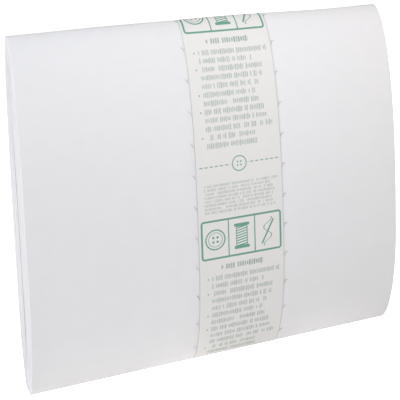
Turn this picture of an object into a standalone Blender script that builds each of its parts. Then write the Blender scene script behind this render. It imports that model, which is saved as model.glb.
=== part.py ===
"""A bolt of stiff interfacing: one flat-wound roll of cloth with a printed strip wrapped round it.

Units are metres. The cloth is wound round an axis that runs along X, and the roll stands on
one of its long rounded edges, with the front face towards -Y and the foot at Z = 0.
"""

import math

import bmesh
import bpy
from mathutils import Vector

# Width of the cloth, which is the length of the roll along the winding axis.
CLOTH_WIDTH = 0.508

# Section of the roll, seen from its end. It is a flattened oval, widest at the belly.
SECTION_HEIGHT = 0.456
BELLY_HEIGHT = 0.147
HALF_THICKNESS = 0.043
BOW_TO_FRONT = 0.013
LEAN_TO_BACK = 0.016

# Roundness of the section. A higher flatness holds the faces straight for longer, and a
# higher fullness makes the rim blunter.
UPPER_FLATNESS = 2.87
UPPER_FULLNESS = 1.83
LOWER_FLATNESS = 1.93
LOWER_FULLNESS = 2.40

# The weight of the roll presses its lower rim flat over this height.
FOOT_PRESSED = 0.0045

# Spacing of the turns: the cloth is 2 mm thick and lies a little loosely. The loose end is low on
# the back.
TURN_PITCH = 0.0025
LOOSE_END_ANGLE = math.radians(-42.0)
FOOT_ANGLE = math.radians(270.0)
OUTLINE_STEPS = 96
OUTLINE_STEP = 2.0 * math.pi / OUTLINE_STEPS

# The cut ends of the roll aren't quite square: each slants from foot to rim by its own angle.
LEFT_SLANT = math.radians(3.0)
RIGHT_SLANT = math.radians(0.0)

# A spiral groove in each end shows the winding, one groove to every third turn.
GROOVE_PITCH = 3.0 * TURN_PITCH
GROOVE_FIRST_DEPTH = 1.5 * TURN_PITCH
GROOVE_TURNS = 3.75
GROOVE_WIDTH = 0.0012
GROOVE_DEPTH = 0.0040
GROOVE_STEPS_PER_TURN = 48

# The printed strip lies in a shallow seat, flush with the cloth on both sides of it.
STRIP_LEFT = -0.0374
STRIP_RIGHT = 0.0822
STRIP_THICKNESS = 0.0010
PIECE_GAP = 0.0003

CLOTH_COLOUR = (0.80, 0.80, 0.83, 1.0)
STRIP_COLOUR = (0.84, 0.83, 0.82, 1.0)


def share_of_turn(angle):
    """Fraction of a full turn wound between the loose end and this angle."""
    return (angle - LOOSE_END_ANGLE) / (2.0 * math.pi)


def rise(angle):
    """Height over the belly, from -1 at the foot to 1 at the upper rim."""
    sine = math.sin(angle)
    flatness = UPPER_FLATNESS if sine > 0.0 else LOWER_FLATNESS
    return math.copysign(abs(sine) ** (2.0 / flatness), sine)


def swell(angle):
    """Distance from the middle surface, from -1 at the front belly to 1 at the back belly."""
    cosine = math.cos(angle)
    fullness = UPPER_FULLNESS if math.sin(angle) > 0.0 else LOWER_FULLNESS
    return math.copysign(abs(cosine) ** (2.0 / fullness), cosine)


def thickness_share(height):
    """Share of the full thickness that the whole section has at this height."""
    upper = height > BELLY_HEIGHT
    reach = SECTION_HEIGHT - BELLY_HEIGHT if upper else BELLY_HEIGHT
    flatness = UPPER_FLATNESS if upper else LOWER_FLATNESS
    fullness = UPPER_FULLNESS if upper else LOWER_FULLNESS
    away = min(abs(height - BELLY_HEIGHT) / reach, 1.0)
    return (1.0 - away ** flatness) ** (1.0 / fullness)


def foot_plane(depth_at_foot):
    """Height at which a turn of this depth is pressed flat."""
    return FOOT_PRESSED + depth_at_foot


def wound_point(angle, depth, depth_at_foot):
    """Point (y, z) of a turn that lies this deep below the full section, with the foot at z = 0."""
    reach = SECTION_HEIGHT - BELLY_HEIGHT if math.sin(angle) > 0.0 else BELLY_HEIGHT
    height = BELLY_HEIGHT + (reach - depth) * rise(angle)
    height = max(height, foot_plane(depth_at_foot))
    y = (HALF_THICKNESS - depth) * swell(angle) - BOW_TO_FRONT * thickness_share(height)
    y += LEAN_TO_BACK * height / SECTION_HEIGHT
    return Vector((y, height - foot_plane(FOOT_DEPTH)))


FOOT_DEPTH = TURN_PITCH * share_of_turn(FOOT_ANGLE)


def pressed_angle():
    """Angle to each side of the foot within which the rim is pressed flat."""
    share = (BELLY_HEIGHT - foot_plane(FOOT_DEPTH)) / (BELLY_HEIGHT - FOOT_DEPTH)
    return math.acos(share ** (LOWER_FLATNESS / 2.0))


def outer_turn():
    """Outer turn of the cloth, from its loose end round to the place below the loose end."""
    pressed = pressed_angle()
    stations = [(angle, FOOT_DEPTH) for angle in (FOOT_ANGLE - pressed, FOOT_ANGLE + pressed)]
    for step in range(OUTLINE_STEPS + 1):
        angle = LOOSE_END_ANGLE + OUTLINE_STEP * step
        if abs(angle - FOOT_ANGLE) > pressed + OUTLINE_STEP / 2.0:
            stations.append((angle, TURN_PITCH * share_of_turn(angle)))
    return [wound_point(angle, depth, FOOT_DEPTH) for angle, depth in sorted(stations)]


def groove_line():
    """Middle line of the spiral groove, from the outer turn to the innermost one."""
    steps = round(GROOVE_TURNS * GROOVE_STEPS_PER_TURN)
    points = []
    for step in range(steps + 1):
        turned = step / GROOVE_STEPS_PER_TURN
        angle = LOOSE_END_ANGLE + 2.0 * math.pi * turned
        depth = GROOVE_FIRST_DEPTH + GROOVE_PITCH * turned
        points.append(wound_point(angle, depth, depth))
    return points


def side_of(start, end):
    """Unit vector to the left of the direction from start to end, which is into the roll."""
    along = (end - start).normalized()
    return Vector((-along.y, along.x))


def inset(points, distance, closed):
    """The same line moved into the roll by a distance, with mitred corners."""
    moved = []
    last = len(points) - 1
    for index, point in enumerate(points):
        before = points[index - 1] if index > 0 or closed else None
        after = points[(index + 1) % len(points)] if index < last or closed else None
        first = side_of(before, point) if before is not None else side_of(point, after)
        second = side_of(point, after) if after is not None else first
        mitre = (first + second) / (1.0 + first.dot(second))
        moved.append(point + mitre * distance)
    return moved


def slant(x, z):
    """Shift along X at this place, which turns the square ends into slanting ones."""
    share = (x + CLOTH_WIDTH / 2.0) / CLOTH_WIDTH
    lean = (1.0 - share) * math.tan(LEFT_SLANT) + share * math.tan(RIGHT_SLANT)
    return lean * (z - SECTION_HEIGHT / 2.0)


TURN = outer_turn()
Y_CENTRE = (min(point.x for point in TURN) + max(point.x for point in TURN)) / 2.0
TOP = max(point.y for point in TURN)
LEFT_REACH = min(-CLOTH_WIDTH / 2.0 + slant(-CLOTH_WIDTH / 2.0, z) for z in (0.0, TOP))
RIGHT_REACH = max(CLOTH_WIDTH / 2.0 + slant(CLOTH_WIDTH / 2.0, z) for z in (0.0, TOP))
X_CENTRE = (LEFT_REACH + RIGHT_REACH) / 2.0


def clear_scene():
    """Remove the objects that a new file holds."""
    for item in list(bpy.data.objects):
        bpy.data.objects.remove(item, do_unlink=True)


def new_collection(name):
    """A collection under the scene's own."""
    collection = bpy.data.collections.new(name)
    bpy.context.scene.collection.children.link(collection)
    return collection


def new_material(name, colour, roughness):
    """A plain Principled material."""
    material = bpy.data.materials.new(name)
    material.use_nodes = True
    shader = material.node_tree.nodes["Principled BSDF"]
    shader.inputs["Base Color"].default_value = colour
    shader.inputs["Roughness"].default_value = roughness
    shader.inputs["Metallic"].default_value = 0.0
    return material


def filled_curve(name, outlines, thickness):
    """A flat 2D curve through closed outlines, extruded to a thickness about its own plane."""
    curve = bpy.data.curves.new(name, "CURVE")
    curve.dimensions = "2D"
    curve.fill_mode = "BOTH"
    curve.extrude = thickness / 2.0
    for outline in outlines:
        spline = curve.splines.new("POLY")
        spline.points.add(len(outline) - 1)
        for place, point in zip(spline.points, outline):
            place.co = (point.x, point.y, 0.0, 1.0)
        spline.use_cyclic_u = True
    return curve


def along_axis(name, outlines, x_start, x_end, collection):
    """A solid with a section in the YZ plane, carried along the winding axis and slanted."""
    middle = (x_start + x_end) / 2.0
    curve = filled_curve(name + "_outline", outlines, x_end - x_start)
    drawn = bpy.data.objects.new(name + "_outline", curve)
    collection.objects.link(drawn)
    bpy.context.view_layer.update()
    evaluated = drawn.evaluated_get(bpy.context.evaluated_depsgraph_get())
    mesh = bpy.data.meshes.new_from_object(evaluated)
    bpy.data.objects.remove(drawn, do_unlink=True)

    work = bmesh.new()
    work.from_mesh(mesh)
    bmesh.ops.remove_doubles(work, verts=work.verts, dist=0.00002)
    for vertex in work.verts:
        vertex.co.z += slant(vertex.co.z + middle, vertex.co.y)
    bmesh.ops.recalc_face_normals(work, faces=work.faces)
    work.to_mesh(mesh)
    work.free()
    mesh.name = name

    solid = bpy.data.objects.new(name, mesh)
    collection.objects.link(solid)
    solid.rotation_euler = (math.pi / 2.0, 0.0, math.pi / 2.0)
    solid.location = (middle - X_CENTRE, -Y_CENTRE, 0.0)
    return solid


def cut(solid, cutter):
    """Take the cutter out of the solid, and hide the cutter."""
    modifier = solid.modifiers.new("cut_" + cutter.name, "BOOLEAN")
    modifier.operation = "DIFFERENCE"
    modifier.solver = "EXACT"
    modifier.object = cutter
    cutter.hide_render = True
    cutter.display_type = "WIRE"


def seat_cutter(collection):
    """Everything outside the seat of the printed strip, over the strip's own width."""
    around = 0.05
    frame = [
        Vector((Y_CENTRE - HALF_THICKNESS - around, -around)),
        Vector((Y_CENTRE + HALF_THICKNESS + around, -around)),
        Vector((Y_CENTRE + HALF_THICKNESS + around, TOP + around)),
        Vector((Y_CENTRE - HALF_THICKNESS - around, TOP + around)),
    ]
    seat = inset(TURN, STRIP_THICKNESS + PIECE_GAP, closed=True)
    return along_axis("strip_seat_cutter", [frame, seat],
                      STRIP_LEFT - PIECE_GAP, STRIP_RIGHT + PIECE_GAP, collection)


def groove_cutter(name, x_end, collection):
    """A spiral wall that cuts the groove into one end of the roll."""
    line = groove_line()
    band = inset(line, -GROOVE_WIDTH / 2.0, closed=False)
    band += reversed(inset(line, GROOVE_WIDTH / 2.0, closed=False))
    return along_axis(name, [band], x_end - GROOVE_DEPTH, x_end + GROOVE_DEPTH, collection)


def interfacing_roll(parts, cutters):
    """The wound cloth as one solid, with its loose end as a step along the back."""
    half = CLOTH_WIDTH / 2.0
    roll = along_axis("interfacing_roll", [TURN], -half, half, parts)
    cut(roll, seat_cutter(cutters))
    cut(roll, groove_cutter("left_groove_cutter", -half, cutters))
    cut(roll, groove_cutter("right_groove_cutter", half, cutters))
    roll.data.materials.append(new_material("interfacing", CLOTH_COLOUR, 0.9))
    return roll


def printed_strip(parts):
    """The strip as one band round the outer turn, from the loose end to the place below it."""
    band = list(TURN) + list(reversed(inset(TURN, STRIP_THICKNESS, closed=False)))
    strip = along_axis("printed_strip", [band], STRIP_LEFT, STRIP_RIGHT, parts)
    strip.data.materials.append(new_material("strip_paper", STRIP_COLOUR, 0.55))
    return strip


def main():
    """Build the roll and its strip."""
    clear_scene()
    parts = new_collection("roll_of_stiff_interfacing")
    cutters = new_collection("cutters")
    roll = interfacing_roll(parts, cutters)
    strip = printed_strip(parts)
    stand = bpy.data.objects.new("roll_origin", None)
    parts.objects.link(stand)
    for piece in (roll, strip):
        piece.parent = stand
        piece.data.shade_smooth()
        piece.data.set_sharp_from_angle(angle=math.radians(35.0))


main()
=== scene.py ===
"""Looks of a flat-wound roll of stiff interfacing, with a printed paper strip round it.

Lengths are metres in the row frame: +X along the winding axis, -Y the front, +Z up. The section
of the winding is the one that the solids have. Sizes of the print are millimetres on the strip.
"""

import logging
import math
from dataclasses import dataclass, field
from enum import Enum
from functools import partial, reduce

import bpy
import numpy as np
from mathutils import Matrix, Vector


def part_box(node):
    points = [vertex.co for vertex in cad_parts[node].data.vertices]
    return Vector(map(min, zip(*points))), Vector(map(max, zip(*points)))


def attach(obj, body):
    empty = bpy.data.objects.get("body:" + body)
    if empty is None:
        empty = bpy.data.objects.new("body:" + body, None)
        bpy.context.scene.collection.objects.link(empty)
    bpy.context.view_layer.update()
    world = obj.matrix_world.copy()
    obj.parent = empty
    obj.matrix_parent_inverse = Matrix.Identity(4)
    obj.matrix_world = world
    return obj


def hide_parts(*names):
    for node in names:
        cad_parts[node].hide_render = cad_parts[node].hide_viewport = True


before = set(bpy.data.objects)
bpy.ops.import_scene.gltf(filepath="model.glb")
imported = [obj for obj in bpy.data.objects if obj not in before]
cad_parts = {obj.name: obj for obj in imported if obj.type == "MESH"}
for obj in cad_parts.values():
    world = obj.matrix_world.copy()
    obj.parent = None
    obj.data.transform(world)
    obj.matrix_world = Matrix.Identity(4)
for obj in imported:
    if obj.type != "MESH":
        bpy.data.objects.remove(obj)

LOG = logging.getLogger("interfacing_roll")
CLOTH_NODE = "interfacing_roll"
STRIP_NODE = "printed_strip"
BODY = "root"

FLAT_PLACE = "flat_place"
SHARP_ANGLE = math.radians(38.0)
OUTWARD_STEP = 0.001
MILLIMETRES = 1000.0
NUMBER = "NodeSocketFloat"
VECTOR = "NodeSocketVector"

Array = np.ndarray
Pair = tuple[float, float]
Triple = tuple[float, float, float]
Colour = tuple[float, float, float, float]
Piece = bpy.types.Object
Material = bpy.types.Material
Node = bpy.types.Node
Tree = bpy.types.NodeTree
Socket = bpy.types.NodeSocket
Value = Socket | float | tuple


@dataclass(frozen=True)
class WoundSection:
    """Section of the roll across its winding axis: a flattened oval with a pressed foot.

    The angle is 0 at the back belly, 90 degrees at the upper rim, 180 at the front belly and 270
    at the foot. The winding starts at the loose end, low on the back, and goes up and over the top.
    """

    height: float = 0.456
    belly_height: float = 0.147
    half_thickness: float = 0.043
    bow_to_front: float = 0.013
    lean_to_back: float = 0.016
    upper_flatness: float = 2.87
    upper_fullness: float = 1.83
    lower_flatness: float = 1.93
    lower_fullness: float = 2.40
    foot_pressed: float = 0.0045
    foot_softness: float = 0.0012
    turn_pitch: float = 0.0025
    loose_end: float = math.radians(-42.0)
    foot: float = math.radians(270.0)

    @property
    def foot_share(self) -> float:
        """Share of a turn that is wound between the loose end and the foot."""
        return (self.foot - self.loose_end) / (2.0 * math.pi)

    def upper_or_lower(self, upper: Array) -> tuple[Array, Array, Array]:
        """Reach, flatness and fullness of the half of the section that each point is in.

        Args:
            upper: True where the point lies above the belly.

        Returns:
            The three arrays, of the same shape.
        """
        reach = np.where(upper, self.height - self.belly_height, self.belly_height)
        flatness = np.where(upper, self.upper_flatness, self.lower_flatness)
        fullness = np.where(upper, self.upper_fullness, self.lower_fullness)
        return reach, flatness, fullness

    def thickness_share(self, height: Array) -> Array:
        """Share of the full thickness: one less a power of the height, to another power."""
        reach, flatness, fullness = self.upper_or_lower(height > self.belly_height)
        away = np.minimum(np.abs(height - self.belly_height) / reach, 1.0)
        return (1.0 - away ** flatness) ** (1.0 / fullness)

    def place(self, turned: Array, sunk: Array, pressed: Array) -> tuple[Array, Array]:
        """Places points on the winding.

        Height over the belly is the reach times the sine to a power, and the distance from the
        middle is the half thickness times the cosine to another power, both less the depth, which
        grows by one pitch a turn. A smooth maximum keeps the height over the foot's plane. The
        middle is bowed to the front by the thickness share and leans to the back with height.

        Args:
            turned: Turns wound since the loose end.
            sunk: Extra depth into the roll.
            pressed: The part of the extra depth that the foot's plane takes on too.

        Returns:
            The y and z of the points, with the foot at z = 0.
        """
        angle = self.loose_end + 2.0 * math.pi * turned
        sine, cosine = np.sin(angle), np.cos(angle)
        reach, flatness, fullness = self.upper_or_lower(sine > 0.0)
        depth = self.turn_pitch * turned + sunk
        rise = np.sign(sine) * np.abs(sine) ** (2.0 / flatness)
        swell = np.sign(cosine) * np.abs(cosine) ** (2.0 / fullness)
        height = self.belly_height + (reach - depth) * rise

        passes = np.round(turned - self.foot_share) + self.foot_share
        plane = self.foot_pressed + self.turn_pitch * passes + pressed
        near = np.maximum(self.foot_softness - np.abs(height - plane), 0.0)
        height = np.maximum(height, plane) + near ** 2 / (4.0 * self.foot_softness)

        y = (self.half_thickness - depth) * swell
        y = y - self.bow_to_front * self.thickness_share(height)
        y = y + self.lean_to_back * height / self.height
        return y, height - self.foot_pressed - self.turn_pitch * self.foot_share


@dataclass(frozen=True)
class Wave:
    """A soft wave of the surface: a sine along the axis, bent by a sine of the angle round it."""

    share: float
    along: float
    bend: float
    turn: float
    start: float

    def at(self, x: Array, angle: Array) -> Array:
        """How far the wave swells at a place along the axis and an angle round it."""
        bent = self.along * x + self.bend * np.sin(angle + self.turn)
        return self.share * np.sin(bent + self.start)


@dataclass(frozen=True)
class Winding:
    """The whole winding in the row frame: section, slanting left end and soft unevenness."""

    section: WoundSection = field(default_factory=WoundSection)
    width: float = 0.508
    left_slant: float = math.radians(3.0)
    strip_left: float = -0.0374
    strip_right: float = 0.0822
    seat_depth: float = 0.00045
    seat_margin: float = 0.007
    unevenness: float = 0.0007
    waves: tuple[Wave, ...] = (
        Wave(share=1.0, along=9.0, bend=2.0, turn=0.0, start=0.4),
        Wave(share=0.7, along=17.0, bend=-3.0, turn=math.pi / 2.0, start=1.9),
        Wave(share=0.5, along=29.0, bend=4.0, turn=0.8, start=3.1),
    )
    calm_over_foot: float = 1.35
    end_roll: float = 0.0001
    end_reach: float = 0.009

    @property
    def y_middle(self) -> float:
        """The y of the section's own middle, which the row frame has at 0."""
        y, _ = self.section.place(np.linspace(0.0, 1.0, 2000), np.zeros(2000), np.zeros(2000))
        return float(y.min() + y.max()) / 2.0

    def seat(self, x: Array) -> Array:
        """Depth of the seat under the strip: full between its edges, fading out beside them."""
        beside = np.maximum(self.strip_left - x, x - self.strip_right)
        share = np.clip(1.0 - beside / self.seat_margin, 0.0, 1.0)
        return self.seat_depth * share * share * (3.0 - 2.0 * share)

    def swelling(self, x: Array, turned: Array) -> Array:
        """Soft unevenness of the wound cloth: a few long waves along and round, none at the foot.

        Close to the cut ends the surface rolls off with the square of the way into their reach.

        Args:
            x: Place along the winding axis.
            turned: Turns wound since the loose end.

        Returns:
            How far the surface swells outwards there. Each turn has the same, so none touch.
        """
        angle = self.section.loose_end + 2.0 * math.pi * turned
        swell = self.unevenness * sum(wave.at(x, angle) for wave in self.waves)
        into_end = np.clip((np.abs(x) - self.width / 2.0) / self.end_reach + 1.0, 0.0, 1.0)
        off_the_foot = np.clip(1.0 + self.calm_over_foot * np.sin(angle), 0.0, 1.0)
        return (swell - self.end_roll * into_end ** 2) * off_the_foot

    def lay(self, x: Array, turned: Array, depth: Array, seated: bool = True) -> Array:
        """Points of the winding in the row frame.

        Args:
            x: Place along the winding axis, measured from the cloth's middle.
            turned: Turns wound since the loose end.
            depth: Depth below the outer face of that turn.
            seated: Whether the surface dips under the strip.

        Returns:
            An array with the three coordinates last. The ends slant in proportion to the height.
        """
        pressed = depth + (self.seat(x) if seated else 0.0)
        y, z = self.section.place(turned, pressed - self.swelling(x, turned), pressed)
        to_left = 0.5 - x / self.width
        shift = to_left * math.tan(self.left_slant) * (z - self.section.height / 2.0)
        low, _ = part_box(CLOTH_NODE)
        left_foot = -self.width / 2.0 - math.tan(self.left_slant) * self.section.height / 2.0
        return np.stack([x + shift + low[0] - left_foot, y - self.y_middle, z], axis=-1)

    def length_along(self, turned: Array) -> Array:
        """Length of cloth from the loose end to each station: the sum of the steps up to it."""
        line = self.lay(np.full_like(turned, -self.width / 4.0), turned, np.zeros_like(turned))
        steps = np.linalg.norm(np.diff(line, axis=0), axis=1)
        return np.concatenate([[0.0], np.cumsum(steps)])

    def stations(self, start: float, end: float, count: int, by_length: float) -> Array:
        """Stations along the winding, evenly spaced in a mix of turned angle and cloth length.

        Args:
            start: Turns at the first station.
            end: Turns at the last station.
            count: Number of stations.
            by_length: Share of the length in the mix. The rest is the angle.

        Returns:
            The turns at each station.
        """
        fine = np.linspace(start, end, 4000)
        length = self.length_along(fine)
        mix = by_length * length / length[-1] + (1.0 - by_length) * (fine - start) / (end - start)
        return np.interp(np.linspace(0.0, 1.0, count), mix, fine)


def grid_faces(rows: int, columns: int) -> tuple[Array, Array]:
    """Quads of a closed sheet, whose outer grid of points comes first and its inner one after it.

    Each quad is a point's index plus fixed steps to its neighbours, for the two faces and then for
    the four edges, turned so that all of them point out of the sheet.

    Args:
        rows: Points along the sheet.
        columns: Points across it.

    Returns:
        The quads, and True for those on the sheet's own edges.
    """
    outer = np.arange(rows * columns).reshape(rows, columns)
    inner = outer + rows * columns

    def quads(*corners: Array) -> Array:
        """Joins four index grids into one list of quads."""
        return np.stack([corner.ravel() for corner in corners], axis=1)

    faces = [
        quads(outer[:-1, :-1], outer[1:, :-1], outer[1:, 1:], outer[:-1, 1:]),
        quads(inner[:-1, :-1], inner[:-1, 1:], inner[1:, 1:], inner[1:, :-1]),
    ]
    edges = [
        quads(outer[:-1, 0], inner[:-1, 0], inner[1:, 0], outer[1:, 0]),
        quads(outer[:-1, -1], outer[1:, -1], inner[1:, -1], inner[:-1, -1]),
        quads(outer[0, :-1], outer[0, 1:], inner[0, 1:], inner[0, :-1]),
        quads(outer[-1, :-1], inner[-1, :-1], inner[-1, 1:], outer[-1, 1:]),
    ]
    on_edge = np.repeat([False, True], [sum(map(len, faces)), sum(map(len, edges))])
    return np.concatenate(faces + edges), on_edge


def new_object(name: str, data: bpy.types.ID) -> Piece:
    """Puts a new object with a mesh, light or camera into the scene."""
    made = bpy.data.objects.new(name, data)
    bpy.context.scene.collection.objects.link(made)
    return made


def new_piece(name: str, points: Array, faces: Array, places: Array | None = None) -> Piece:
    """Makes a mesh object of quads at the origin, and lets it ride on the roll.

    Args:
        name: Name of the piece.
        points: Points, three numbers each.
        faces: Quads, four point indices each.
        places: Place of each point on the flat sheet, which becomes the UV map.

    Returns:
        The new object.
    """
    mesh = bpy.data.meshes.new(name)
    mesh.from_pydata(points.reshape(-1, 3).tolist(), [], faces.tolist())
    if places is not None:
        layer = mesh.uv_layers.new(name=FLAT_PLACE)
        layer.uv.foreach_set("vector", places.reshape(-1, 2)[faces.ravel()].ravel())
    mesh.shade_smooth()
    mesh.set_sharp_from_angle(angle=SHARP_ANGLE)
    piece = new_object(name, mesh)
    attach(piece, BODY)
    return piece


@dataclass(frozen=True)
class Sketch:
    """Short calls that add nodes to a shader tree and link them."""

    tree: Tree

    def node(self, kind: str, **inputs: Value) -> Node:
        """Adds a node, and links or sets its inputs.

        Args:
            kind: The node's type.
            **inputs: A value or an output socket for each input, by name with _ for a space.

        Returns:
            The node.
        """
        made = self.tree.nodes.new(kind)
        self.fill(made, inputs)
        return made

    def group(self, tree: Tree, **inputs: Value) -> Node:
        """Places a node group with its own values."""
        made = self.tree.nodes.new("ShaderNodeGroup")
        made.node_tree = tree
        self.fill(made, inputs)
        return made

    def fill(self, made: Node, inputs: dict[str, Value]) -> None:
        """Links or sets the inputs of a node."""
        for name, value in inputs.items():
            self.put(made.inputs[name.replace("_", " ")], value)

    def put(self, socket: Socket, value: Value) -> None:
        """Links an output socket to an input, or sets the input's own value."""
        if isinstance(value, Socket):
            self.tree.links.new(value, socket)
        else:
            socket.default_value = value

    def maths(self, operation: str, *values: Value, clamp: bool = False) -> Socket:
        """One step of arithmetic on numbers or sockets.

        Args:
            operation: Blender's name for it.
            *values: Its operands.
            clamp: Whether the result is kept from 0 to 1.

        Returns:
            The result's socket.
        """
        made = self.tree.nodes.new("ShaderNodeMath")
        made.operation = operation
        made.use_clamp = clamp
        for socket, value in zip(made.inputs, values):
            self.put(socket, value)
        return made.outputs[0]

    def product(self, *values: Value) -> Socket:
        """All the values multiplied together."""
        return reduce(partial(self.maths, "MULTIPLY"), values)

    def most(self, *values: Value) -> Socket:
        """The greatest of the values."""
        return reduce(partial(self.maths, "MAXIMUM"), values)

    def less(self, value: Value, taken: Value) -> Socket:
        """A value less another."""
        return self.maths("SUBTRACT", value, taken)

    def past(self, value: Value, reach: Value) -> Socket:
        """How far the size of a value is past a reach."""
        return self.less(self.maths("ABSOLUTE", value), reach)

    def ramp(self, value: Value, slope: float, start: float) -> Socket:
        """A value times a slope, plus a start, kept from 0 to 1."""
        return self.maths("MULTIPLY_ADD", value, slope, start, clamp=True)

    def within(self, value: Value, reach: Value, softness: float) -> Socket:
        """1 where the size of a value is under a reach, 0 over it, with a soft step between."""
        return self.ramp(self.past(value, reach), -1.0 / softness, 0.5)

    def mix(self, share: Value, first: Value, second: Value) -> Socket:
        """A colour between two, by a share from 0 to 1."""
        made = self.tree.nodes.new("ShaderNodeMix")
        made.data_type = "RGBA"
        colours = [socket for socket in made.inputs if socket.type == "RGBA"]
        self.put(made.inputs[0], share)
        self.put(colours[0], first)
        self.put(colours[1], second)
        return next(socket for socket in made.outputs if socket.type == "RGBA")

    def noise(self, vector: Value, scale: float, detail: float) -> Socket:
        """The value of a noise texture."""
        made = self.node("ShaderNodeTexNoise", Vector=vector, Scale=scale, Detail=detail)
        return made.outputs[0]

    def random(self, *places: Value) -> Socket:
        """A random number from 0 to 1 for whole-number places."""
        joined = self.node("ShaderNodeCombineXYZ", **dict(zip("XYZ", places)))
        return self.node("ShaderNodeTexWhiteNoise", Vector=joined.outputs[0]).outputs[0]

    def flat_place(self) -> Socket:
        """Place on the flat sheet, from the piece's UV map."""
        made = self.node("ShaderNodeUVMap")
        made.uv_map = FLAT_PLACE
        return made.outputs[0]

    def object_place(self) -> Socket:
        """Place in the row frame, from object coordinates."""
        return self.node("ShaderNodeTexCoord").outputs["Object"]

    def coat(self, shader: Node, colour: Socket, height: Socket, bump: float,
             strength: float = 1.0) -> None:
        """Gives a shader its colour, and a normal that is bumped by a height."""
        bumped = self.node("ShaderNodeBump", Height=height, Distance=bump, Strength=strength)
        self.fill(shader, {"Base Color": colour, "Normal": bumped.outputs[0]})


def new_group(name: str, inputs: dict[str, str], outputs: list[str]) -> tuple[Sketch, dict, dict]:
    """Starts a shader node group.

    Args:
        name: Name of the group.
        inputs: Kind of each input socket, by its name.
        outputs: Names of the outputs, all of which are plain numbers.

    Returns:
        A sketch of its tree, its input values and its output sockets by name.
    """
    tree = bpy.data.node_groups.new(name, "ShaderNodeTree")
    for label, kind in inputs.items():
        tree.interface.new_socket(name=label, in_out="INPUT", socket_type=kind)
    for label in outputs:
        tree.interface.new_socket(name=label, in_out="OUTPUT", socket_type=NUMBER)
    entry = tree.nodes.new("NodeGroupInput").outputs
    leave = tree.nodes.new("NodeGroupOutput").inputs
    given = {label: entry[label] for label in inputs}
    return Sketch(tree), given, {label: leave[label] for label in outputs}


def fibre_group() -> Tree:
    """Laid fibres: the greatest of three noises, each stretched and turned to its own direction.

    The mottle is a mix of a cloudy noise and a broad one.

    Returns:
        A group that gives a height and a soft mottle from a place on the flat cloth.
    """
    inputs = {"Place": VECTOR, "Density": NUMBER}
    sketch, given, made = new_group("laid_fibres", inputs, ["Height", "Mottle"])
    turns = (0.35, 1.75, 2.7)
    finer_across = (9.0, 11.0, 8.0)
    layers = []
    for turn, finer in zip(turns, finer_across):
        turned = sketch.node("ShaderNodeMapping", Vector=given["Place"], Rotation=(0.0, 0.0, turn),
                             Scale=(1.0, finer, 1.0))
        scaled = sketch.node("ShaderNodeVectorMath")
        scaled.operation = "SCALE"
        sketch.put(scaled.inputs[0], turned.outputs[0])
        sketch.put(scaled.inputs["Scale"], given["Density"])
        layers.append(sketch.noise(scaled.outputs[0], 1.0, 3.0))
    sketch.put(made["Height"], sketch.most(*layers))
    cloudy = sketch.noise(given["Place"], 55.0, 4.0)
    broad = sketch.product(sketch.noise(given["Place"], 9.0, 2.0), 0.4)
    sketch.put(made["Mottle"], sketch.maths("MULTIPLY_ADD", cloudy, 0.6, broad))
    return sketch.tree


def rounded_shape_group() -> Tree:
    """A box with round corners, by its distance function; equal sides and corner make it a disc.

    The distance is the length of the part outside the corner's centre, plus the negative part
    inside it, less the corner's radius.

    Returns:
        A group that gives the filled shape and its outline.
    """
    inputs = dict.fromkeys(["X", "Y", "Half Width", "Half Height", "Corner", "Line"], NUMBER)
    sketch, given, made = new_group("rounded_shape", inputs, ["Filled", "Outline"])
    halves = {"X": "Half Width", "Y": "Half Height"}
    past = [sketch.past(given[place], sketch.less(given[half], given["Corner"]))
            for place, half in halves.items()]
    outside = [sketch.maths("MAXIMUM", side, 0.0) for side in past]
    squares = [sketch.product(side, side) for side in outside]
    length = sketch.maths("SQRT", sketch.maths("ADD", *squares))
    inside = sketch.maths("MINIMUM", sketch.most(*past), 0.0)
    distance = sketch.less(sketch.maths("ADD", length, inside), given["Corner"])
    fill_slope, line_softness = -3.0, 0.3
    sketch.put(made["Filled"], sketch.ramp(distance, fill_slope, 0.5))
    half_line = sketch.product(given["Line"], 0.5)
    sketch.put(made["Outline"], sketch.within(distance, half_line, line_softness))
    return sketch.tree


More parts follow.
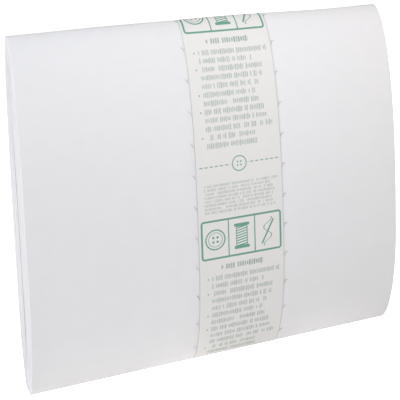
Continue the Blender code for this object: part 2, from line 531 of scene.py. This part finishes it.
def printed_rows_group() -> Tree:
    """Rows of small plain blocks in groups like words, with uneven ends, which no one can read.

    A row is a floor of the distance along over the pitch. A block shows where a random number of
    its row and column is high enough, and each row ends at a random place.

    Returns:
        A group that gives the ink of the rows.
    """
    numbers = ["Across", "Along", "Pitch", "Tall", "Rows", "Left", "Right", "Block", "Ragged"]
    sketch, given, made = new_group("printed_rows", dict.fromkeys(numbers, NUMBER), ["Ink"])
    in_rows = sketch.maths("DIVIDE", given["Along"], given["Pitch"])
    row = sketch.maths("FLOOR", in_rows)
    height = sketch.product(sketch.less(sketch.less(in_rows, row), 0.5), given["Pitch"])
    from_left = sketch.less(given["Across"], given["Left"])
    in_blocks = sketch.maths("DIVIDE", from_left, given["Block"])
    column = sketch.maths("FLOOR", in_blocks)
    aside = sketch.less(sketch.less(in_blocks, column), 0.5)

    left_out = 0.17
    least_tall, more_tall = 0.3, 0.25
    least_ink, more_ink = 0.6, 0.5
    half_block, block_softness, row_softness = 0.34, 0.2, 0.8
    chance = sketch.random(column, row, 3.0)
    tallness = sketch.maths("MULTIPLY_ADD", sketch.random(column, row, 7.0), more_tall, least_tall)
    short = sketch.product(sketch.random(row, 11.0, 5.0), given["Ragged"])
    end = sketch.product(sketch.less(given["Right"], given["Left"]), sketch.less(1.0, short))
    parts = [
        sketch.within(height, sketch.product(given["Tall"], tallness), row_softness),
        sketch.within(aside, half_block, block_softness),
        sketch.maths("GREATER_THAN", chance, left_out),
        sketch.ramp(chance, more_ink, least_ink),
        sketch.maths("GREATER_THAN", from_left, 0.0),
        sketch.maths("LESS_THAN", from_left, end),
        sketch.maths("GREATER_THAN", given["Along"], 0.0),
        sketch.maths("LESS_THAN", row, given["Rows"]),
    ]
    sketch.put(made["Ink"], sketch.product(*parts))
    return sketch.tree


@dataclass(frozen=True)
class Groups:
    """The node groups that the materials share."""

    fibres: Tree
    shape: Tree
    rows: Tree


def new_material(name: str, roughness: float) -> tuple[Material, Sketch, Node]:
    """Starts a material with a Principled shader.

    Args:
        name: Name of the material.
        roughness: The shader's roughness.

    Returns:
        The material, a sketch of its tree and its shader.
    """
    material = bpy.data.materials.new(name)
    material.use_nodes = True
    shader = material.node_tree.nodes["Principled BSDF"]
    shader.inputs["Roughness"].default_value = roughness
    shader.inputs["Specular IOR Level"].default_value = 0.3
    return material, Sketch(material.node_tree), shader


@dataclass(frozen=True)
class FeltFinish:
    """Matt nonwoven felt of pressed white fibres."""

    colour: Colour = (0.842, 0.840, 0.858, 1.0)
    thin_colour: Colour = (0.798, 0.797, 0.820, 1.0)
    fine_fibres: float = 900.0
    coarse_fibres: float = 260.0
    fibre_tone: float = 2.6
    mottle_tone: float = 1.3
    tone_start: float = -1.76
    roughness: float = 0.92
    sheen: float = 0.15
    sheen_roughness: float = 0.6
    bump: float = 0.00024

    def material(self, name: str, fibres: Tree) -> Material:
        """Builds the felt's material on the cloth's own flat place.

        Args:
            name: Name of the material.
            fibres: The group of laid fibres.

        Returns:
            The material.
        """
        material, sketch, shader = new_material(name, self.roughness)
        place = sketch.flat_place()
        laid = sketch.group(fibres, Place=place, Density=self.fine_fibres).outputs
        coarse = sketch.group(fibres, Place=place, Density=self.coarse_fibres).outputs
        tone = sketch.maths("MULTIPLY_ADD", laid["Mottle"], self.mottle_tone, self.tone_start)
        tone = sketch.maths("MULTIPLY_ADD", laid["Height"], self.fibre_tone, tone, clamp=True)
        height = sketch.maths("ADD", laid["Height"], coarse["Height"])
        sketch.coat(shader, sketch.mix(tone, self.thin_colour, self.colour), height, self.bump)
        shader.inputs["Sheen Weight"].default_value = self.sheen
        shader.inputs["Sheen Roughness"].default_value = self.sheen_roughness
        return material


@dataclass(frozen=True)
class CutEdgeFinish:
    """The felt's cut edge, with its fibres in short streaks across the thickness."""

    light: Colour = (0.86, 0.86, 0.885, 1.0)
    dark: Colour = (0.79, 0.79, 0.825, 1.0)
    streaks: float = 1400.0
    streak_tone: float = 1.2
    roughness: float = 0.95
    bump: float = 0.0002

    def material(self, name: str) -> Material:
        """Builds the cut edge's material on object coordinates."""
        material, sketch, shader = new_material(name, self.roughness)
        streaks = sketch.noise(sketch.object_place(), self.streaks, 3.0)
        tone = sketch.maths("MULTIPLY", streaks, self.streak_tone, clamp=True)
        sketch.coat(shader, sketch.mix(tone, self.dark, self.light), streaks, self.bump)
        return material


@dataclass
class WoundCloth:
    """The cloth, wound from its loose end on the outside to the narrow slot at the middle."""

    winding: Winding
    turns: float = 15.95
    thickness: float = 0.0023
    edge_round: float = 0.00025
    outer_stations: int = 300
    inner_stations_per_turn: int = 64
    end_columns: tuple[float, ...] = (0.002, 0.005, 0.009, 0.022, 0.045)
    seat_columns: tuple[float, ...] = (-0.3, 0.0, 0.33, 0.67, 1.0)
    plain_from_end: float = 0.075
    plain_from_seat: float = 0.02
    slow_wander: float = 0.00028
    quick_wander: float = 0.0002
    wound_true: float = 0.6

    def columns(self) -> Array:
        """Places across the cloth: close together at the cut ends and at the strip's edges."""
        half = self.winding.width / 2.0
        near_end = half - np.array([0.0, self.edge_round, *self.end_columns])
        margin = self.winding.seat_margin * np.array(self.seat_columns)
        left = self.winding.strip_left - margin
        right = self.winding.strip_right + margin
        gap = self.plain_from_seat
        plain = [
            np.linspace(-half + self.plain_from_end, left.min() - gap, 5),
            np.linspace(left.max() + gap, right.min() - gap, 4),
            np.linspace(right.max() + gap, half - self.plain_from_end, 4),
        ]
        return np.unique(np.concatenate([-near_end, near_end, left, right, *plain]))

    def build(self) -> Piece:
        """Builds the closed sheet: two grids a thickness apart, rounded off at the cut ends.

        Each turn wanders along X by two sines of the turns, as a roll that isn't wound quite true.

        Returns:
            The cloth.
        """
        winding = self.winding
        inner_count = int((self.turns - 1.0) * self.inner_stations_per_turn)
        outer = winding.stations(0.0, 1.0, self.outer_stations, 0.5)
        inner = winding.stations(1.0, self.turns, inner_count, 0.2)
        turned, x = np.meshgrid(np.concatenate([outer, inner[1:]]), self.columns(), indexing="ij")
        at_end = np.isclose(np.abs(x), winding.width / 2.0)
        inset = np.where(at_end, self.edge_round, 0.0)
        depths = (inset, self.thickness - inset)
        points = np.stack([winding.lay(x, turned, depth) for depth in depths])
        wander = self.slow_wander * np.sin(2.1 * turned)
        wander += self.quick_wander * np.sin(5.3 * turned + 1.0)
        points[..., 0] += wander * np.clip(turned - self.wound_true, 0.0, 1.0)

        along = winding.length_along(turned[:, 0])
        places = np.stack([x, np.broadcast_to(along[:, None], x.shape)], axis=-1)
        quads, on_edge = grid_faces(*x.shape)
        cloth = new_piece("wound_cloth", points, quads, np.stack([places, places]))
        cloth.data.polygons.foreach_set("material_index", on_edge.astype(np.int32))
        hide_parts(CLOTH_NODE)
        LOG.info("wound cloth: %.2f m in %.2f turns", along[-1], self.turns)
        return cloth

    def dress(self, cloth: Piece, fibres: Tree) -> None:
        """Gives the faces the felt and the edges the cut felt."""
        cloth.data.materials.append(FeltFinish().material("interfacing_felt", fibres))
        cloth.data.materials.append(CutEdgeFinish().material("felt_cut_edge"))


class Ink(Enum):
    """Strengths of the green print."""

    HEAVY = 0.92
    BOLD = 0.8
    ROWS = 0.57
    FINE = 0.5


@dataclass(frozen=True)
class Drawing:
    """Draws plain shapes of ink about a place on the page. Sizes are millimetres."""

    sketch: Sketch
    groups: Groups

    def rows(self, across: Value, along: Value, ink: Ink, **sizes: float) -> Socket:
        """A block of printed rows, whose sizes are the inputs of their group."""
        made = self.sketch.group(self.groups.rows, Across=across, Along=along, **sizes)
        return self.sketch.product(made.outputs["Ink"], ink.value)

    def box(self, x: Value, y: Value, half: Pair, corner: float, line: float = 1.0) -> Node:
        """Places a rounded box about the middle of x and y."""
        return self.sketch.group(self.groups.shape, X=x, Y=y, Half_Width=half[0],
                                 Half_Height=half[1], Corner=corner, Line=line)

    def filled(self, x: Value, y: Value, half: Pair, corner: float) -> Socket:
        """A filled rounded box."""
        return self.box(x, y, half, corner).outputs["Filled"]

    def disc(self, x: Value, y: Value, radius: float) -> Socket:
        """A filled disc."""
        return self.filled(x, y, (radius, radius), radius)

    def ring(self, x: Value, y: Value, radius: float, line: float) -> Socket:
        """A ring drawn with a line."""
        return self.box(x, y, (radius, radius), radius, line).outputs["Outline"]

    def button(self, x: Value, y: Value, rim: float, line: float, hole_aside: float,
               hole: float) -> Socket:
        """A button: a rim and four holes, which are one hole mirrored both ways."""
        aside = [self.sketch.past(value, hole_aside) for value in (x, y)]
        return self.sketch.most(self.ring(x, y, rim, line), self.disc(*aside, hole))

    def spool(self, x: Value, y: Value) -> Socket:
        """A spool of thread: two flanges, and a body crossed by slanting lines of thread."""
        flange_aside, slant, pitch, half_thread = 15.0, 0.18, 3.4, 0.75
        sketch = self.sketch
        flange = self.filled(x, sketch.past(y, flange_aside), (10.5, 2.0), 1.0)
        body = self.box(x, y, (7.5, 13.0), 1.5, 1.2).outputs
        wound = sketch.maths("MULTIPLY_ADD", x, slant, y)
        wound = sketch.less(sketch.maths("FLOORED_MODULO", wound, pitch), pitch / 2.0)
        wound = sketch.product(sketch.within(wound, half_thread, 0.4), body["Filled"])
        return sketch.most(flange, body["Outline"], wound)

    def needle(self, x: Value, y: Value) -> Socket:
        """A slanting needle, with a thread that waves off along a sine."""
        slant, wave_rate, wave_reach = math.radians(28.0), 0.27, 5.5
        half_thread, thread_reach = 0.65, 19.0
        sketch = self.sketch
        turned = []
        for turn in (slant + math.pi / 2.0, slant):
            shares = sketch.product(x, math.cos(turn)), sketch.product(y, math.sin(turn))
            turned.append(sketch.maths("ADD", *shares))
        wave = sketch.product(sketch.maths("SINE", sketch.product(y, wave_rate)), wave_reach)
        thread = sketch.product(sketch.within(sketch.less(x, wave), half_thread, 0.5),
                                sketch.within(y, thread_reach, 0.5))
        return sketch.most(self.filled(*turned, (18.0, 1.1), 1.1), thread)


@dataclass(frozen=True)
class PrintedPaper:
    """Thin soft paper with a plain green print, which repeats along it. Sizes are millimetres."""

    paper: Colour = (0.792, 0.783, 0.775, 1.0)
    thin_paper: Colour = (0.765, 0.757, 0.75, 1.0)
    frame_ink: Colour = (0.07, 0.30, 0.215, 1.0)
    row_ink: Colour = (0.18, 0.285, 0.24, 1.0)
    # grey of the line along the paper's edges: partly painted shade of the strip's edge, partly a
    # grey cut edge
    edge_shade_line: Colour = (0.52, 0.53, 0.53, 1.0)
    width: float = 119.6
    page: float = 290.0
    first_page: float = 92.0
    margin: float = 5.0
    frame_top: float = 4.0
    frame_tall: float = 50.0
    heading_at: float = 62.0
    first_row: float = 76.0
    small_button_at: float = 224.0
    fine_rows_at: float = 246.0
    stitch_pitch: float = 7.0
    fibres: float = 500.0
    roughness: float = 0.62
    bump: float = 0.00006

    def material(self, name: str, groups: Groups) -> Material:
        """Builds the paper's material on the strip's own flat place.

        Args:
            name: Name of the material.
            groups: The shared node groups.

        Returns:
            The material.
        """
        material, sketch, shader = new_material(name, self.roughness)
        place = sketch.flat_place()
        parts = sketch.node("ShaderNodeSeparateXYZ", Vector=place).outputs
        across = sketch.product(parts["X"], MILLIMETRES)
        along = sketch.maths("MULTIPLY_ADD", parts["Y"], MILLIMETRES, -self.first_page)
        on_page = sketch.maths("FLOORED_MODULO", along, self.page)
        from_middle = sketch.less(across, self.width / 2.0)

        laid = sketch.group(groups.fibres, Place=place, Density=self.fibres).outputs
        tone = sketch.ramp(laid["Mottle"], 1.8, -0.4)
        worn = sketch.ramp(laid["Height"], 0.5, 0.68)
        colour = sketch.mix(tone, self.thin_paper, self.paper)
        drawing = Drawing(sketch, groups)
        rows = sketch.most(*self.paragraphs(drawing, across, on_page))
        colour = sketch.mix(sketch.product(rows, worn), colour, self.row_ink)
        drawn = sketch.most(self.heading_frame(drawing, from_middle, on_page),
                            self.button_row(drawing, from_middle, on_page))
        colour = sketch.mix(sketch.product(drawn, worn), colour, self.frame_ink)
        # painted shade along both edges of the paper: a grey line for the shadow of the strip's
        # edge, and its grey cut edge
        at_edge = sketch.within(sketch.past(from_middle, self.width / 2.0 - 0.5), 0.45, 0.4)
        colour = sketch.mix(at_edge, colour, self.edge_shade_line)
        sketch.coat(shader, colour, laid["Height"], self.bump)
        return material

    def heading_frame(self, drawing: Drawing, x: Value, on_page: Value) -> Socket:
        """A heavy frame of three cells that hold a button, a spool and a threaded needle."""
        sketch = drawing.sketch
        half = (self.width / 2.0 - self.margin, self.frame_tall / 2.0)
        cell = 2.0 * half[0] / 3.0
        y = sketch.less(on_page, half[1] + self.frame_top)
        border = drawing.box(x, y, half, 3.0, 2.6).outputs
        split = sketch.within(sketch.past(x, cell / 2.0), 0.8, 0.3)
        button_x = sketch.maths("ADD", x, cell)
        marks = sketch.most(
            border["Outline"],
            sketch.product(split, border["Filled"]),
            drawing.button(button_x, y, rim=13.0, line=1.8, hole_aside=2.9, hole=1.6),
            drawing.ring(button_x, y, 9.4, 0.8),
            drawing.spool(x, y),
            drawing.needle(sketch.less(x, cell), y),
        )
        return sketch.product(marks, Ink.HEAVY.value)

    def paragraphs(self, drawing: Drawing, across: Value, on_page: Value) -> list[Socket]:
        """A bold heading, dotted paragraphs of two and three rows, and a block of fine rows.

        Args:
            drawing: Draws the rows and the dots.
            across: Place across the strip.
            on_page: Place along the page.

        Returns:
            The ink of each block, and of the dots.
        """
        sketch = drawing.sketch
        left, right = self.margin + 12.0, self.width - self.margin - 1.0
        pitch, count = 10.6, 12.0
        starts = (self.heading_at, self.first_row, self.fine_rows_at)
        heading, along, fine = [sketch.less(on_page, start) for start in starts]
        marks = [
            drawing.rows(across, heading, Ink.BOLD, Pitch=10.0, Tall=7.4, Rows=1.0,
                         Left=left + 13.0, Right=right - 25.0, Block=3.2, Ragged=0.0),
            drawing.rows(across, along, Ink.ROWS, Pitch=pitch, Tall=7.2, Rows=count,
                         Left=left, Right=right, Block=2.5, Ragged=0.3),
            drawing.rows(across, fine, Ink.FINE, Pitch=4.9, Tall=3.8, Rows=8.0,
                         Left=left - 7.0, Right=right, Block=1.8, Ragged=0.12),
        ]
        in_pair = sketch.maths("FLOORED_MODULO", along, 5.0 * pitch)
        from_row = [sketch.less(in_pair, (row + 0.5) * pitch) for row in (0, 2)]
        nearest = sketch.maths("MINIMUM", *[sketch.maths("ABSOLUTE", value) for value in from_row])
        dot = drawing.disc(sketch.less(across, left - 5.0), nearest, 1.1)
        on_rows = sketch.product(sketch.maths("GREATER_THAN", along, 0.0),
                                 sketch.maths("LESS_THAN", along, count * pitch))
        return [*marks, sketch.product(dot, on_rows, Ink.BOLD.value)]

    def button_row(self, drawing: Drawing, x: Value, on_page: Value) -> Socket:
        """A small button at the middle of a line of running stitches."""
        sketch = drawing.sketch
        y = sketch.less(on_page, self.small_button_at)
        button = drawing.button(x, y, rim=9.5, line=1.5, hole_aside=2.2, hole=1.2)
        stitch = sketch.maths("FLOORED_MODULO", x, self.stitch_pitch)
        stitch = drawing.filled(sketch.less(stitch, self.stitch_pitch / 2.0), y, (2.3, 0.75), 0.7)
        outside = sketch.maths("GREATER_THAN", sketch.maths("ABSOLUTE", x), 12.0)
        inside = sketch.within(x, self.width / 2.0 - self.margin, 0.3)
        marks = sketch.most(button, sketch.product(stitch, outside, inside))
        return sketch.product(marks, Ink.BOLD.value)


@dataclass
class PaperStrip:
    """The printed strip, once round the outer turn, flush with the cloth beside its seat."""

    winding: Winding
    thickness: float = 0.0003
    stations: int = 420
    across: int = 9

    def build(self) -> Piece:
        """Builds the closed strip as two grids a paper's thickness apart."""
        winding = self.winding
        x = np.linspace(winding.strip_left, winding.strip_right, self.across)
        turned, x = np.meshgrid(winding.stations(0.0, 1.0, self.stations, 0.5), x, indexing="ij")
        depths = (np.zeros_like(x), np.full_like(x, self.thickness))
        points = np.stack([winding.lay(x, turned, depth, seated=False) for depth in depths])
        along = winding.length_along(turned[:, 0])
        ahead = np.broadcast_to(along[:, None], x.shape)
        places = np.stack([x - winding.strip_left, ahead], axis=-1)
        quads, _ = grid_faces(*x.shape)
        strip = new_piece("strip_paper", points, quads, np.stack([places, places]))
        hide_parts(STRIP_NODE)
        LOG.info("strip: %.1f mm round", MILLIMETRES * along[-1])
        return strip


@dataclass
class TackStitches:
    """Small thread tacks along both edges of the strip."""

    winding: Winding
    spacing: float = 0.0397
    clear_of_foot: float = 0.004
    thread_radius: float = 0.00042
    proud: float = 0.6
    end_power: int = 8
    end_closed: float = 0.96
    sides: int = 6
    path_steps: int = 12
    fine_steps: int = 3000

    def hooks(self) -> list[tuple[float, Array]]:
        """The tack of each edge, as x and along offsets from a point on the edge."""
        left = np.array([[-0.0042, -0.0022], [-0.0022, 0.0], [-0.0006, 0.0034]])
        right = np.array([[0.0052, -0.0004], [0.0008, 0.0], [0.0006, 0.0048]])
        return [(self.winding.strip_left, left), (self.winding.strip_right, right)]

    def tubes(self, x: Array, turned: Array, step: Array) -> Array:
        """Tubes along paths on the strip's face.

        A tube is a ring of points carried along its path. The ring's radius is the thread's times
        the square root of one less the distance from the path's middle to a high power.

        Args:
            x: Place of each point of each path along the winding axis.
            turned: Turns at each point.
            step: Share of the path at each point, from 0 to 1.

        Returns:
            The rings' points, by tube, step and side.
        """
        lift = -self.proud * self.thread_radius * np.sin(math.pi * step)
        line = self.winding.lay(x, turned, np.broadcast_to(lift, x.shape), seated=False)
        out = self.winding.lay(x, turned, lift - OUTWARD_STEP, seated=False) - line
        out = out / np.linalg.norm(out, axis=-1, keepdims=True)
        side = np.cross(np.gradient(line, axis=1), out)
        side = side / np.linalg.norm(side, axis=-1, keepdims=True)
        ring = np.linspace(0.0, 2.0 * math.pi, self.sides, endpoint=False)[:, None]
        spread = np.cos(ring) * side[:, :, None, :] + np.sin(ring) * out[:, :, None, :]
        from_middle = np.abs(2.0 * step - 1.0) ** self.end_power
        radius = self.thread_radius * np.sqrt(1.0 - from_middle * self.end_closed)
        return line[:, :, None, :] + radius[:, None, None] * spread

    def build(self) -> Piece:
        """Builds all the tacks, evenly spaced and none under the foot, as one mesh of tubes."""
        fine = np.linspace(0.0, 1.0, self.fine_steps)
        length = self.winding.length_along(fine)
        starts = np.arange(self.spacing / 2.0, length[-1] - self.spacing / 2.0, self.spacing)
        heights = self.winding.lay(np.zeros_like(fine), fine, np.zeros_like(fine))[:, 2]
        starts = starts[np.interp(starts, length, heights) > self.clear_of_foot]
        step = np.linspace(0.0, 1.0, self.path_steps)
        points = []
        for edge, hook in self.hooks():
            knots = np.linspace(0.0, 1.0, len(hook))
            aside = np.interp(step, knots, hook[:, 0])
            ahead = np.interp(step, knots, hook[:, 1])
            x = np.broadcast_to(edge + aside, (len(starts), self.path_steps))
            turned = np.interp(starts[:, None] + ahead, length, fine)
            points.append(self.tubes(x, turned, step))
        tubes = np.concatenate(points)
        stitches = new_piece("tack_stitches", tubes, self.tube_faces(len(tubes)))
        LOG.info("tack stitches: %d", len(tubes))
        return stitches

    def tube_faces(self, count: int) -> Array:
        """Quads of all the tubes, whose six-sided ends are closed by two quads each.

        Args:
            count: Number of tubes.

        Returns:
            The quads, by point index.
        """
        shape = (count, self.path_steps, self.sides)
        index = np.arange(math.prod(shape)).reshape(shape)
        beside = np.roll(index, -1, axis=2)
        walls = np.stack([index[:, :-1], index[:, 1:], beside[:, 1:], beside[:, :-1]], axis=-1)
        first, last = index[:, 0], index[:, -1]
        ends = [
            first[:, [0, 1, 2, 3]],
            first[:, [0, 3, 4, 5]],
            last[:, [3, 2, 1, 0]],
            last[:, [5, 4, 3, 0]],
        ]
        return np.concatenate([walls.reshape(-1, 4), *ends])


@dataclass(frozen=True)
class ThreadFinish:
    """Fine grey-white thread with a slanting twist."""

    light: Colour = (0.62, 0.64, 0.64, 1.0)
    dark: Colour = (0.42, 0.45, 0.45, 1.0)
    roughness: float = 0.7
    twist: float = 900.0
    bump: float = 0.0001

    def material(self, name: str) -> Material:
        """Builds the thread's material on object coordinates."""
        material, sketch, shader = new_material(name, self.roughness)
        twist = sketch.node("ShaderNodeTexWave", Vector=sketch.object_place(), Scale=self.twist,
                            Distortion=1.5)
        twist.bands_direction = "DIAGONAL"
        value = twist.outputs["Fac"]
        sketch.coat(shader, sketch.mix(value, self.dark, self.light), value, self.bump, 0.8)
        return material


@dataclass(frozen=True)
class PaintedLightPool:
    """A painted pool of light on the floor: a brighter glowing ellipse that fades out from its
    middle.
    """

    middle: Pair
    reach: Pair
    strength: float

    def added_to(self, sketch: Sketch, place: Value, glow: Value) -> Socket:
        """Adds the painted pool of light: its strength times the square of one less the share of
        its reach.

        Args:
            sketch: The floor material's sketch.
            place: Place on the floor.
            glow: The glow so far.

        Returns:
            The glow with the patch.
        """
        shares = [-middle / reach for middle, reach in zip(self.middle, self.reach)]
        scale = (1.0 / self.reach[0], 1.0 / self.reach[1], 1.0)
        patch = sketch.node("ShaderNodeMapping", Vector=place, Location=(*shares, 0.0), Scale=scale)
        faded = sketch.node("ShaderNodeTexGradient", Vector=patch.outputs[0])
        faded.gradient_type = "QUADRATIC_SPHERE"
        return sketch.maths("MULTIPLY_ADD", faded.outputs["Fac"], self.strength, glow)


@dataclass(frozen=True)
class Softbox:
    """A square softbox that faces the roll: its place, the length of its side, watts and colour."""

    name: str
    place: Triple
    size: float
    power: float
    colour: Triple = (1.0, 1.0, 1.0)

    def add(self, target: Vector) -> None:
        """Adds the light, turned to a target."""
        data = bpy.data.lights.new(self.name, "AREA")
        data.size = self.size
        data.energy = self.power
        data.color = self.colour
        light = new_object(self.name, data)
        light.location = self.place
        light.rotation_euler = (target - Vector(self.place)).to_track_quat("-Z", "Y").to_euler()


@dataclass(frozen=True)
class Studio:
    """Camera, pale floor and soft light."""

    azimuth: float = math.radians(20.804)
    elevation: float = math.radians(17.12)
    roll: float = math.radians(-2.821)
    distance: float = 1.16345
    target: Triple = (-0.012094, 0.0, 0.218027)
    lens: float = 80.305
    sensor: float = 36.0
    floor_size: float = 60.0
    floor_colour: Colour = (0.55, 0.55, 0.55, 1.0)
    floor_cloud: Colour = (0.5, 0.5, 0.505, 1.0)
    floor_glow: float = 0.43
    floor_shown_glow: float = 0.9
    floor_glow_colour: Colour = (1.0, 0.965, 0.93, 1.0)
    # painted pools of light: glowing patches of the floor that brighten the roll's low parts
    painted_light_pools: tuple[PaintedLightPool, ...] = (
        PaintedLightPool((-0.2, -0.12), (0.3, 0.3), 0.38),
        PaintedLightPool((-0.05, -0.05), (0.14, 0.14), 0.34),
        PaintedLightPool((0.15, -0.05), (0.18, 0.075), 0.4),
    )
    room_strength: float = 0.15
    room_shown_strength: float = 1.05
    softboxes: tuple[Softbox, ...] = (
        Softbox("left_softbox", (-1.5, -0.2, 0.8), 0.8, 14.4, (0.96, 0.97, 1.0)),
        Softbox("near_softbox", (0.0, -0.7, 0.95), 0.5, 4.4, (0.87, 0.94, 0.985)),
        Softbox("right_softbox", (0.42, -0.6, 0.95), 0.4, 2.4, (1.0, 0.85, 0.75)),
        Softbox("back_softbox", (0.3, 1.8, 0.35), 1.2, 14.0),
        Softbox("end_softbox", (1.7, 0.6, 0.4), 0.9, 10.0),
    )

    def add_camera(self) -> None:
        """Adds the camera: back from the target along its direction, turned by the roll."""
        data = bpy.data.cameras.new("photo_camera")
        data.lens = self.lens
        data.sensor_width = self.sensor
        data.clip_end = 50.0
        camera = new_object("photo_camera", data)
        aside, ahead = math.sin(self.azimuth), math.cos(self.azimuth)
        near = math.cos(self.elevation)
        back = Vector((-aside * near, -ahead * near, math.sin(self.elevation)))
        level = Vector((ahead, -aside, 0.0))
        upright = back.cross(level)
        right = level * math.cos(self.roll) + upright * math.sin(self.roll)
        up = upright * math.cos(self.roll) - level * math.sin(self.roll)
        turn = Matrix((right, up, back)).transposed()
        place = Vector(self.target) + back * self.distance
        camera.matrix_world = Matrix.Translation(place) @ turn.to_4x4()
        bpy.context.scene.camera = camera

    def add_floor(self) -> None:
        """Adds the floor, a wide pale plane with the faintest cloudiness, which glows, more to the
        camera, and in painted pools of light near the roll.
        """
        half = self.floor_size / 2.0
        corners = [(-half, -half, 0.0), (half, -half, 0.0), (half, half, 0.0), (-half, half, 0.0)]
        mesh = bpy.data.meshes.new("studio_floor")
        mesh.from_pydata(corners, [], [(0, 1, 2, 3)])
        floor = new_object("studio_floor", mesh)
        material, sketch, shader = new_material("pale_floor", 0.85)
        place = sketch.object_place()
        share = sketch.product(sketch.noise(place, 3.0, 2.0), 0.1)
        colour = sketch.mix(share, self.floor_colour, self.floor_cloud)
        sketch.put(shader.inputs["Base Color"], colour)
        shown = sketch.node("ShaderNodeLightPath").outputs["Is Camera Ray"]
        glow = sketch.maths("MULTIPLY_ADD", shown, self.floor_shown_glow, self.floor_glow)
        # painted pools of light, which glow on the floor and light the roll's low parts
        for pool in self.painted_light_pools:
            glow = pool.added_to(sketch, place, glow)
        shader.inputs["Emission Color"].default_value = self.floor_glow_colour
        sketch.put(shader.inputs["Emission Strength"], glow)
        mesh.materials.append(material)

    def add_world(self) -> None:
        """Adds a white room, which throws little light."""
        world = bpy.data.worlds.new("studio_world")
        world.use_nodes = True
        sketch = Sketch(world.node_tree)
        shown = sketch.node("ShaderNodeLightPath").outputs["Is Camera Ray"]
        more = self.room_shown_strength - self.room_strength
        strength = sketch.maths("MULTIPLY_ADD", shown, more, self.room_strength)
        background = world.node_tree.nodes["Background"]
        background.inputs["Color"].default_value = (1.0, 1.0, 1.0, 1.0)
        sketch.put(background.inputs["Strength"], strength)
        bpy.context.scene.world = world

    def build(self) -> None:
        """Adds the camera, the floor, the world's light and the softboxes."""
        self.add_camera()
        self.add_floor()
        self.add_world()
        for softbox in self.softboxes:
            softbox.add(Vector(self.target))
        bpy.context.scene.view_settings.view_transform = "Standard"


def main() -> None:
    """Builds and dresses the roll, and sets up the studio."""
    logging.basicConfig(level=logging.INFO, format="%(message)s")
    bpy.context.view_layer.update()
    Studio().build()
    groups = Groups(fibre_group(), rounded_shape_group(), printed_rows_group())
    winding = Winding()

    cloth_maker = WoundCloth(winding)
    cloth = cloth_maker.build()
    cloth_maker.dress(cloth, groups.fibres)

    strip = PaperStrip(winding).build()
    strip.data.materials.append(PrintedPaper().material("printed_paper", groups))
    stitches = TackStitches(winding).build()
    stitches.data.materials.append(ThreadFinish().material("tack_thread"))
    around = float(winding.length_along(np.linspace(0.0, 1.0, 500))[-1])


if __name__ == "__main__":
    main()
